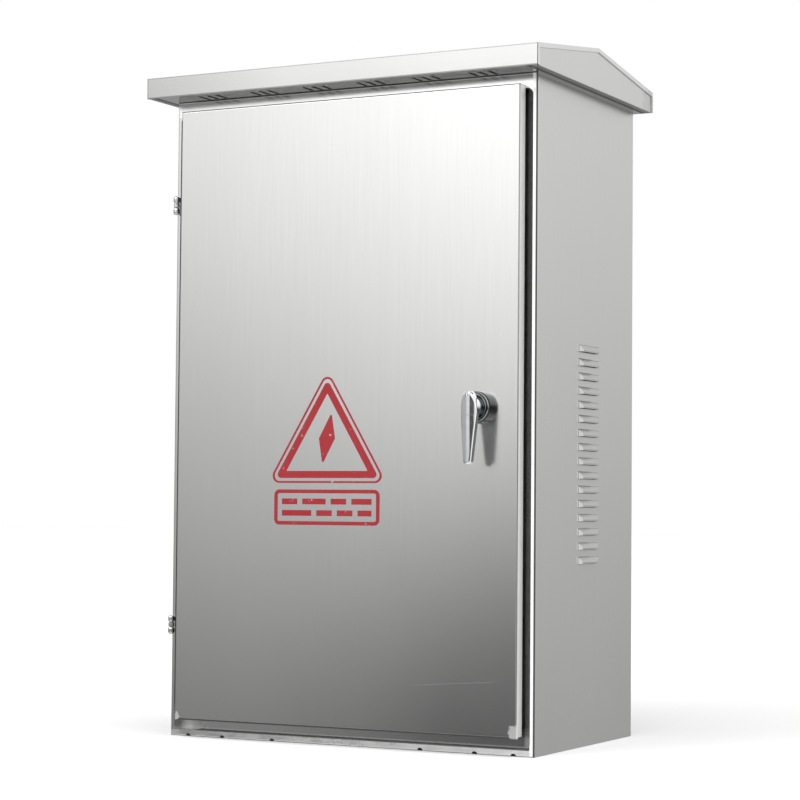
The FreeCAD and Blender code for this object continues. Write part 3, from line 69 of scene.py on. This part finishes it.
def make_world():
    """A studio round the cabinet, plain white where it is seen.

    It is bright above and dark just under eye level. In front it darkens towards the far left and
    has a dark patch low on the left. Behind, the left is plain grey and the right brightens towards
    the side. To the right of the camera stand a dark flag and, past it, a bright panel, which draw
    the lines along the bends.
    """
    world = bpy.data.worlds.new("studio")
    bpy.context.scene.world = world
    world.use_nodes = True
    world.node_tree.nodes.clear()
    n = Nodes(world.node_tree, "Generated")
    across, deep, height = n.axes()
    front, back = n.ramp(height, FRONT_LEVELS), n.ramp(height, BACK_LEVELS)
    front = n.mix(n.span(across, -0.60, -0.40, smooth=True), n.scale(front, 0.70), n.scale(front, 1.16))
    front = n.mix(n.near(DARK_PATCH, DARK_PATCH_REACH), front, n.scale(front, 0.05))
    back = n.mix(n.span(across, -0.25, 0.1, smooth=True), (0.6, 0.6, 0.6), back)
    back = n.mix(n.span(across, 0.30, 0.46), n.scale(back, 0.72), n.scale(back, 1.1))
    studio = n.mix(n.span(deep, -0.3, 0.3, smooth=True), front, back)
    around = n.math("ARCTAN2", across, n.both(deep, -1))
    flag = n.both(n.between(height, -0.06, 0.13, 0.04),
                  n.between(around, *map(math.radians, FLAG_BEARINGS), 0.05))
    studio = n.mix(flag, studio, n.scale(studio, 0.12))
    panel = n.both(n.between(height, -0.5, 0.7), n.between(around, *map(math.radians, PANEL_BEARINGS)))
    studio = n.mix(panel, studio, (PANEL_LEVEL,) * 3)
    light = n.add("ShaderNodeBackground")
    n.link(studio, light.inputs["Color"])
    seen = n.add("ShaderNodeBackground")
    seen.inputs["Color"].default_value = (1, 1, 1, 1)
    path = n.add("ShaderNodeLightPath")
    mix = n.add("ShaderNodeMixShader")
    n.link(path.outputs["Is Camera Ray"], mix.inputs["Fac"])
    n.link(light.outputs[0], mix.inputs[1])
    n.link(seen.outputs[0], mix.inputs[2])
    n.link(mix.outputs[0], n.add("ShaderNodeOutputWorld").inputs["Surface"])


def area_light(name, place, target, width, height, power):
    """A soft rectangular light that faces a point."""
    data = bpy.data.lights.new(name, "AREA")
    data.shape = "RECTANGLE"
    data.size, data.size_y = width, height
    data.energy = power
    light = bpy.data.objects.new(name, data)
    light.location = place
    light.rotation_euler = (Vector(target) - Vector(place)).to_track_quat("-Z", "Y").to_euler()
    bpy.context.scene.collection.objects.link(light)


def make_floor():
    """A plain pale floor that the steel doesn't mirror."""
    mesh = bpy.data.meshes.new("floor")
    shape = bmesh.new()
    bmesh.ops.create_grid(shape, x_segments=2, y_segments=2, size=20)
    shape.to_mesh(mesh)
    shape.free()
    floor = bpy.data.objects.new("floor", mesh)
    bpy.context.scene.collection.objects.link(floor)
    material = bpy.data.materials.new("floor_white")
    material.use_nodes = True
    shader = material.node_tree.nodes["Principled BSDF"]
    shader.inputs["Base Color"].default_value = (0.93, 0.93, 0.93, 1)
    shader.inputs["Roughness"].default_value = 0.9
    shader.inputs["Specular IOR Level"].default_value = 0.1
    mesh.materials.append(material)
    floor.visible_glossy = False


# ---- Materials ----

class Nodes:
    """Short calls for building a node tree over one kind of coordinate."""

    def __init__(self, tree, coordinate="Object"):
        self.tree = tree
        self.place = self.add("ShaderNodeTexCoord").outputs[coordinate]

    def add(self, kind):
        return self.tree.nodes.new(kind)

    def link(self, source, target):
        self.tree.links.new(source, target)

    def ramp(self, value, levels):
        """Greys by place along a value from -1 to 1, as shares of the brightest and then scaled up."""
        node = self.add("ShaderNodeValToRGB")
        peak = max(level for _, level in levels)
        stops = node.color_ramp.elements
        for place, level in levels:
            stop = stops[0 if place < 0 else -1] if abs(place) == 1 else stops.new((place + 1) / 2)
            stop.color = (level / peak, level / peak, level / peak, 1)
        self.link(self.span(value, -1, 1), node.inputs["Fac"])
        return self.scale(node.outputs["Color"], peak)

    def scale(self, colour, factor):
        """A colour made darker or brighter."""
        node = self.add("ShaderNodeVectorMath")
        node.operation = "SCALE"
        self.link(colour, node.inputs[0])
        node.inputs["Scale"].default_value = factor
        return node.outputs[0]

    def axes(self):
        """The place's three coordinates."""
        node = self.add("ShaderNodeSeparateXYZ")
        self.link(self.place, node.inputs[0])
        return node.outputs

    def facing(self):
        """The surface's own direction, as three parts in the object's axes."""
        node = self.add("ShaderNodeSeparateXYZ")
        self.link(self.add("ShaderNodeTexCoord").outputs["Normal"], node.inputs[0])
        return node.outputs

    def noise(self, scale, detail=2.0, stretch=(1, 1, 1), roughness=0.5):
        """Noise over the object's own place, from 0 to 1, stretched by a scale per axis."""
        mapping = self.add("ShaderNodeMapping")
        mapping.inputs["Scale"].default_value = stretch
        self.link(self.place, mapping.inputs["Vector"])
        node = self.add("ShaderNodeTexNoise")
        node.inputs["Scale"].default_value = scale
        node.inputs["Detail"].default_value = detail
        node.inputs["Roughness"].default_value = roughness
        self.link(mapping.outputs[0], node.inputs["Vector"])
        return node.outputs["Fac"]

    def span(self, value, low, high, to_low=0.0, to_high=1.0, smooth=False):
        """A value between two levels, moved to two others and held there."""
        node = self.add("ShaderNodeMapRange")
        if smooth:
            node.interpolation_type = "SMOOTHSTEP"
        levels = {"From Min": low, "From Max": high, "To Min": to_low, "To Max": to_high}
        for name, level in levels.items():
            node.inputs[name].default_value = level
        self.link(value, node.inputs["Value"])
        return node.outputs["Result"]

    def above(self, value, low, high):
        """0 up to one level, rising to 1 at the next."""
        return self.span(value, low, high)

    def below(self, value, low, high):
        """1 up to one level, falling to 0 at the next."""
        return self.span(value, low, high, 1, 0)

    def both(self, *values):
        """1 where every value is 1; a plain number only weakens the result."""
        result = values[0]
        for value in values[1:]:
            result = self.math("MULTIPLY", result, value)
        return result

    def size(self, value):
        """A value without its sign."""
        return self.math("ABSOLUTE", value)

    def between(self, value, low, high, soft=0.1):
        """1 between two levels, falling softly to 0 past them."""
        return self.both(self.span(value, low - soft, low + soft, smooth=True),
                         self.span(value, high - soft, high + soft, 1, 0, smooth=True))

    def math(self, operation, *values):
        """One arithmetic step on one or two values, each a socket or a plain number."""
        node = self.add("ShaderNodeMath")
        node.operation = operation
        for socket, value in zip(node.inputs, values):
            if isinstance(value, (int, float)):
                socket.default_value = value
            else:
                self.link(value, socket)
        return node.outputs[0]

    def vector(self, operation, source, fixed):
        """One step on a vector and a fixed one."""
        node = self.add("ShaderNodeVectorMath")
        node.operation = operation
        self.link(source, node.inputs[0])
        node.inputs[1].default_value = fixed
        return node

    def near(self, point, radius, ragged=None):
        """1 at a point of the object, falling to 0 at a radius, with a ragged edge."""
        reach = self.vector("DISTANCE", self.place, point).outputs["Value"]
        if ragged is not None:
            reach = self.math("ADD", reach, self.span(ragged, 0.3, 0.7, -radius * 0.5, radius * 0.5))
        return self.span(reach, radius * 0.55, radius, 1.0, 0.0, smooth=True)

    def mix(self, factor, first, second):
        """Two colours mixed by a value; a colour is a tuple or a socket."""
        node = self.add("ShaderNodeMix")
        node.data_type = "RGBA"
        self.link(factor, node.inputs["Factor"])
        # The colour sockets share their names with others of the node, so they are taken by place.
        for socket, colour in ((node.inputs[6], first), (node.inputs[7], second)):
            if isinstance(colour, tuple):
                socket.default_value = (*colour, 1)
            else:
                self.link(colour, socket)
        return node.outputs[2]

    def bump(self, height, strength, distance):
        """A bump from a height."""
        node = self.add("ShaderNodeBump")
        node.inputs["Strength"].default_value = strength
        node.inputs["Distance"].default_value = distance
        self.link(height, node.inputs["Height"])
        return node.outputs["Normal"]


class Material(Nodes):
    """The node tree of a new material, round its Principled shader."""

    def __init__(self, name):
        self.slot = name
        self.material = bpy.data.materials.new(name)
        self.material.use_nodes = True
        super().__init__(self.material.node_tree)
        self.shader = self.tree.nodes["Principled BSDF"]
        self.shader.inputs["Metallic"].default_value = 1.0

    def finish(self, colour, roughness, normal):
        """Join the colour, roughness and normal to the shader."""
        for name, source in (("Base Color", colour), ("Roughness", roughness), ("Normal", normal)):
            self.link(source, self.shader.inputs[name])

    def lay(self, where, colour, rough, metallic=None):
        """Lay another finish over what is joined already, where a value is 1."""
        base = self.shader.inputs["Base Color"].links[0].from_socket
        under = self.shader.inputs["Roughness"].links[0].from_socket
        self.link(self.mix(where, base, colour), self.shader.inputs["Base Color"])
        kept = self.both(under, self.below(where, 0, 1))
        self.link(self.math("ADD", kept, self.both(where, rough)), self.shader.inputs["Roughness"])
        if metallic is not None:
            self.link(self.span(where, 0, 1, 1, metallic), self.shader.inputs["Metallic"])

    def painted_fold_shade(self, across, half_wide, level, half_tall, deep, front, reach=FOLD_REACH):
        """A painted dark line on the bends round a front face, standing in for the shade and dark
        reflection there.
        """
        edges = [self.above(self.size(value), half - reach, half - reach * 0.6)
                 for value, half in ((across, half_wide), (level, half_tall))]
        near_front = self.below(deep, front + reach * 0.6, front + reach)
        self.lay(self.both(self.math("MAXIMUM", *edges), near_front, 0.8), FOLD_SHADE, 0.35)

    def scratch(self, start, end):
        """1 on a straight mark between two points, fading at its ends."""
        start, end = Vector(start), Vector(end)
        along, reach = (end - start).normalized(), (end - start).length
        offset = self.vector("SUBTRACT", self.place, start).outputs[0]
        travel = self.vector("DOT_PRODUCT", offset, along).outputs["Value"]
        away = self.vector("CROSS_PRODUCT", offset, along).outputs[0]
        length = self.add("ShaderNodeVectorMath")
        length.operation = "LENGTH"
        self.link(away, length.inputs[0])
        line = self.below(length.outputs["Value"], SCRATCH_WIDTH * 0.6, SCRATCH_WIDTH)
        return self.both(line, self.between(travel, reach * 0.1, reach * 0.9, reach * 0.1))

    def scratches(self, strokes, colour):
        """Thin pale marks laid over what is joined already."""
        for start, end in strokes:
            self.lay(self.both(self.scratch(start, end), 0.32), colour, 0.4)


def sheet_steel(name, tone, rough, grain="z", tint=SHEET_TINT):
    """Stainless sheet with very fine grain along one axis and cloudy rolling marks."""
    n = Material(name)
    along = tuple(GRAIN_LONG if axis == grain else GRAIN_FINE for axis in "xyz")
    fine = n.noise(1.0, 3.0, along, 0.6)
    band = n.noise(1.0, 2.0, tuple(part * 0.2 for part in along))
    cloud = n.noise(6.0, 3.0, (1, 1, 0.5))
    bright, dull = [tuple(tone * part * factor for part in tint) for factor in (1.015, 0.98)]
    streak = n.math("ADD", n.both(cloud, 0.75), n.both(band, 0.25))
    colour = n.mix(n.span(streak, 0.35, 0.65), dull, bright)
    colour = n.mix(n.span(fine, 0.3, 0.7, 0, 0.5), colour, tuple(tone * part * 0.95 for part in tint))
    roughness = n.math("ADD", n.span(fine, 0.3, 0.7, rough - 0.008, rough + 0.008),
                       n.span(cloud, 0.3, 0.7, -0.006, 0.008))
    n.finish(colour, roughness, n.bump(fine, 0.03, 0.0001))
    return n


def weld_patches(n, points, radius, tone):
    """Ground patches where corners were welded: paler, rougher and ragged at the edge."""
    ragged = n.noise(90.0, 2.0)
    patch = None
    for point in points:
        spot = n.near(point, radius, ragged)
        patch = spot if patch is None else n.math("MAXIMUM", patch, spot)
    n.lay(n.both(patch, 0.75), tuple(tone * part for part in SHEET_TINT), 0.42)


def polished(name, tone, rough):
    """Plated metal with the faint waviness and smears of a handled part."""
    n = Material(name)
    smear = n.noise(90.0, 3.0)
    dull = tuple(part * 0.93 for part in tone)
    n.link(n.mix(n.span(smear, 0.3, 0.7), dull, tone), n.shader.inputs["Base Color"])
    n.link(n.span(smear, 0.35, 0.75, rough, rough + 0.08), n.shader.inputs["Roughness"])
    n.link(n.bump(n.noise(60.0, 1.0), 0.05, 0.001), n.shader.inputs["Normal"])
    return n


def hinge_finish():
    """The hinges' turned steel, with painted shade past the knuckles, beside the door's edge."""
    n = polished("hinge_steel", (0.66, 0.66, 0.66), 0.22)
    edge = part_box("hinge_base_lower")[0].x
    across = n.axes()[0]
    steel = n.shader.inputs["Base Color"].links[0].from_socket
    # Painted shade on the hinge past the knuckles.
    shade = n.span(across, edge + 0.0062, edge + 0.0076)
    n.link(n.mix(shade, steel, (0.04, 0.04, 0.04)), n.shader.inputs["Base Color"])
    return n


def boss_finish():
    """The boss's smoked plating over fine turned rings."""
    n = polished("dark_chrome", (0.055, 0.058, 0.058), 0.12)
    low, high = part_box("lock_boss")
    centre = ((low.x + high.x) / 2, 0.0, (low.z + high.z) / 2)
    flat = n.vector("MULTIPLY", n.place, (1, 0, 1)).outputs[0]
    reach = n.vector("DISTANCE", flat, centre).outputs["Value"]
    rings = n.math("SINE", n.both(reach, 2 * math.pi / BOSS_RING))
    groove, ridge = (0.035, 0.038, 0.038), (0.34, 0.36, 0.36)
    n.link(n.mix(n.span(rings, 0.45, 0.95), groove, ridge), n.shader.inputs["Base Color"])
    n.link(n.bump(rings, 0.4, 0.0001), n.shader.inputs["Normal"])
    return n


def rubber(name, tone, cells):
    """Black rubber or foam with a pitted skin."""
    n = Material(name)
    pits = n.noise(cells, 3.0)
    n.link(n.mix(pits, (tone * 0.6,) * 3, (tone * 1.4,) * 3), n.shader.inputs["Base Color"])
    n.link(n.span(pits, 0.3, 0.7, 0.75, 0.95), n.shader.inputs["Roughness"])
    n.link(n.bump(pits, 0.4, 0.0004), n.shader.inputs["Normal"])
    n.shader.inputs["Metallic"].default_value = 0.0
    return n


def printed(name, colour, worn):
    """A printed film with slight mottling, scuffed through to the metal here and there."""
    n = Material(name)
    wear = n.noise(140.0, 4.0, roughness=0.7)
    mottle = n.noise(30.0, 2.0)
    plain = n.mix(n.span(mottle, 0.3, 0.7), tuple(part * 0.94 for part in colour), colour)
    bare = n.span(wear, 0.66, 0.72)
    n.link(n.mix(bare, plain, worn), n.shader.inputs["Base Color"])
    n.link(bare, n.shader.inputs["Metallic"])
    n.link(n.span(mottle, 0.3, 0.7, 0.30, 0.45), n.shader.inputs["Roughness"])
    n.link(n.bump(wear, 0.05, 0.0002), n.shader.inputs["Normal"])
    return n


def door_finish():
    """The door's sheet: clear on its face; satin and slightly paler on its returns, the paleness a
    painted highlight; painted shade on its bends and along its lower edge; ground white at the lower
    corners.
    """
    n = sheet_steel("door_steel", 0.80, 0.17)
    low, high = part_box("door_panel")
    across, deep, height = n.axes()
    # Satin returns, laid slightly paler as a painted highlight along the door's sides.
    side = n.above(n.size(across), high.x - 0.0016, high.x - 0.0008)
    n.lay(n.both(side, n.above(deep, low.y + 0.0008, low.y + 0.0016)), (0.86, 0.86, 0.84), 0.5, 0.6)
    middle = (low.z + high.z) / 2
    # Painted shade along the bends round the door's face.
    n.painted_fold_shade(across, high.x, n.math("SUBTRACT", height, middle), high.z - middle, deep, low.y)
    # Painted shade along the door's lower edge.
    n.lay(n.below(height, low.z + 0.0018, low.z + 0.0024), (0.10, 0.10, 0.10), 0.5)
    weld_patches(n, [(high.x - 0.003, low.y, low.z + 0.006)], 0.009, 0.8)
    weld_patches(n, [(low.x + 0.003, low.y, low.z + 0.004)], 0.007, 0.95)
    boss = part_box("lock_boss")
    x, z = (boss[0].x + boss[1].x) / 2, boss[0].z
    n.scratches((((x + 0.004, low.y, z - 0.008), (x + 0.032, low.y, z - 0.022)),
                 ((x + 0.008, low.y, z - 0.008), (x + 0.036, low.y, z - 0.019)),
                 ((low.x + 0.31, low.y, low.z + 0.055), (high.x - 0.012, low.y, low.z + 0.066)),
                 ((low.x + 0.11, low.y, low.z + 0.30), (low.x + 0.128, low.y, low.z + 0.335))),
                LINISHED_AND_SHEEN)
    return n


def body_finish():
    """The sides' and back's sheet, with painted shade on the louvres and round their roots, painted
    shade behind the drain notches, and a few marks low on the handle's side.
    """
    n = sheet_steel("body_steel", 0.62, 0.32)
    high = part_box("side_panel_right")[1]
    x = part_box("frame_right")[1].x
    n.scratches((((x, -0.045, 0.028), (x, 0.015, 0.065)), ((x, 0.004, 0.045), (x, 0.028, 0.075)),
                 ((x, -0.09, 0.05), (x, -0.055, 0.043)), ((x, 0.06, 0.13), (x, 0.072, high.z * 0.2))),
                (0.85, 0.85, 0.84))
    across, deep, height = n.axes()
    away = n.size(across)
    # Painted shade: the louvres' faces are laid darker, and a dark ring is laid round their roots.
    n.lay(n.both(n.above(away, x + 0.0008, x + 0.002), 0.55), (0.40, 0.40, 0.395), 0.3)
    n.lay(n.both(n.between(away, x + 0.0003, x + 0.0012, 0.0002), 0.65), (0.14, 0.14, 0.14), 0.4)
    # Painted shade on the body's sheet low at the front, seen through the drain notches.
    shade_behind_notches = n.both(n.below(deep, 0.004 - high.y, 0.005 - high.y), n.below(height, 0.004, 0.005),
                            n.below(away, x - 0.004, x - 0.003))
    n.lay(shade_behind_notches, (0.03, 0.03, 0.03), 0.6)
    return n


def frame_finish():
    """Folded frame sheet: a rim and foot laid pale, partly as painted highlight; a gutter laid a little
    paler as painted light; painted highlight over the door; and painted shade along edges, folds and
    corners.
    """
    n = sheet_steel("frame_steel", 0.78, 0.17)
    low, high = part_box("frame_right")
    across, deep, height = n.axes()
    away = n.size(across)
    rim_y = -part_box("back_panel")[1].y
    face = n.below(n.size(n.math("SUBTRACT", deep, rim_y)), 0.0002, 0.0006)

    # The rim on the handle's side and the foot are laid paler and rougher, partly a linished finish and
    # partly a painted highlight; the foot is mottled, paler at its left corner and, as painted light,
    # paler towards the handle's side.
    side = n.above(across, high.x - 0.0056, high.x - 0.0052)
    mottle = n.span(n.noise(55.0, 3.0, (1, 1, 2.5), 0.6), 0.36, 0.62, 0.0, 0.14)
    # Painted light: the foot grows paler towards the handle's side.
    mottle = n.math("ADD", mottle, n.span(across, -high.x, high.x, 0.04, 0.46))
    corner = n.both(n.near((-high.x, rim_y, 0.004), 0.02, n.noise(150.0, 3.0)), 0.22)
    foot = n.both(n.below(height, 0.0074, 0.0078), n.math("MAXIMUM", mottle, corner))
    rim = n.both(face, n.math("MAXIMUM", side, foot))
    # Painted light: the gutter is laid a little paler.
    gutter = n.both(n.above(deep, low.y + 0.012, low.y + 0.014),
                    n.above(across, high.x - 0.019, high.x - 0.017),
                    n.below(across, high.x - 0.0045, high.x - 0.0035), 0.2)
    n.lay(n.math("MAXIMUM", rim, gutter), LINISHED_AND_SHEEN, 0.5, 0.4)
    # Painted highlight on the rim face over the door, where the soffit shades it.
    over_door = n.above(height, 0.780, 0.7815)
    n.lay(n.both(face, over_door), (0.99, 0.99, 0.98), 0.17)

    # The ledge under the door, the folds, the outer corner and the lower edge, all in painted shade, and
    # a duller, rougher patch in the recess at the lower left corner.
    # Painted shade on the ledge under the door.
    ledge = n.both(n.between(height, 0.0070, 0.0090, 0.0004),
                   n.above(deep, rim_y + 0.0004, rim_y + 0.001),
                   n.below(away, high.x - 0.002, high.x - 0.001))
    n.lay(ledge, (0.20, 0.20, 0.20), 0.5)
    # Painted shade along the frame's folds.
    n.painted_fold_shade(across, high.x, height, 1.0, deep, rim_y)
    # Painted shade at the outer corner.
    turn = n.both(n.above(across, high.x - 0.0014, high.x - 0.0010),
                  n.below(deep, rim_y + 0.0024, rim_y + 0.0030), 0.9)
    n.lay(turn, EDGE_SHADE, 0.4)
    # Painted shade along the lower edge.
    n.lay(n.both(n.below(height, 0.0008, 0.0014), 0.75), EDGE_SHADE, 0.4)
    # A duller, rougher patch in the recess at the lower left corner.
    pocket = n.near((-high.x + 0.012, rim_y + 0.008, 0.014), 0.03, n.noise(90.0, 2.0))
    n.lay(n.both(n.above(deep, rim_y + 0.0006, rim_y + 0.001), pocket), (0.55, 0.55, 0.54), 0.5)
    return n


def soffit_finish():
    """The soffit's sheet, with painted shade past the body's sides, a painted shade line where it meets
    them, and painted shade on its faces above the lowest one.
    """
    n = sheet_steel("soffit_steel", 0.43, 0.2, grain="x")
    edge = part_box("side_panel_right")[1].x
    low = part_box("soffit_front")[0]
    across, _, height = n.axes()
    away = n.size(across)
    # Painted shade past the body's sides, and a painted shade line where the soffit meets them.
    n.lay(n.above(away, edge + 0.0003, edge + 0.001), (0.32, 0.32, 0.32), 0.4)
    n.lay(n.between(away, edge + 0.0006, edge + 0.006, 0.0003), SOFT_SHADE, 0.4)
    # Painted shade on the soffit's faces above its lowest face, inside the roof.
    n.lay(n.above(height, low.z + 0.0001, low.z + 0.0002), (0.02, 0.02, 0.02), 0.6)
    return n


def roof_finish():
    """The roof's sheet: a fascia with painted shade growing to the left, painted shade on the folds,
    painted light on the gables and painted shade on the upward slopes.
    """
    n = sheet_steel("roof_steel", 0.62, 0.26, grain="x")
    low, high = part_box("roof_cover")
    eave = low.z + (high.z - low.z) / 2
    across, deep, height = n.axes()
    away = n.size(across)
    fascia = n.below(deep, low.y + 0.0008, low.y + 0.0012)
    # Painted shade on the fascia, growing towards the left.
    n.lay(n.both(fascia, n.span(across, low.x, -0.07, 0.8, 0.0)), (0.45, 0.45, 0.445), 0.28)
    # Painted shade along the roof's folds.
    n.painted_fold_shade(across, high.x, height, 1.0, deep, low.y, 0.0012)
    # Painted shade along the fascia's ends, its drip edge and under its brow.
    ends = n.above(away, high.x - 0.0016, high.x - 0.0012)
    drip = n.both(n.below(height, low.z + 0.0012, low.z + 0.0016), 0.6)
    brow = n.both(n.between(height, eave - 0.0011, eave, 0.0002), 0.45)
    n.lay(n.both(fascia, n.math("MAXIMUM", n.math("MAXIMUM", ends, drip), brow)), SOFT_SHADE, 0.4)
    # Painted light: the gables are laid paler.
    n.lay(n.above(away, high.x - 0.0006, high.x - 0.0002), (0.70, 0.70, 0.69), 0.26)
    # Painted shade on the upward-facing slopes.
    n.lay(n.above(n.facing()[2], 0.5, 0.7), (0.46, 0.46, 0.455), 0.34)
    weld_patches(n, [(x, high.y - 0.012, low.z + 0.012) for x in (low.x, high.x)], 0.02, 0.55)
    return n


def make_materials():
    """One material for each of the record's slots."""
    made = [
        body_finish(), frame_finish(), roof_finish(), door_finish(), soffit_finish(),
        sheet_steel("inner_steel", 0.55, 0.36),
        sheet_steel("galvanised", 0.50, 0.46, tint=(0.97, 0.99, 1.02)),
        hinge_finish(),
        polished("fastener_steel", (0.55, 0.55, 0.56), 0.30),
        polished("brass", (0.78, 0.60, 0.30), 0.25),
        polished("chrome", (0.80, 0.82, 0.83), 0.06),
        boss_finish(),
        rubber("foam_rubber", 0.03, 1500.0),
        rubber("grommet_rubber", 0.02, 600.0),
        printed("sign_red", (0.30, 0.010, 0.016), (0.70, 0.70, 0.69)),
    ]
    return {n.slot: n.material for n in made}


def finish_nodes(materials):
    """Give each CAD node its slot's material."""
    slots = {part["node"]: part["material_slot"] for part in frame["record"]["subparts"]}
    for node, item in frame["nodes"].items():
        item.data.materials.clear()
        item.data.materials.append(materials[slots[node]])


bpy.context.scene.view_settings.view_transform = "Standard"
make_camera()
make_world()
make_floor()
area_light("key", KEY_PLACE, KEY_TARGET, KEY_WIDTH, KEY_HEIGHT, KEY_POWER)
finish_nodes(make_materials())
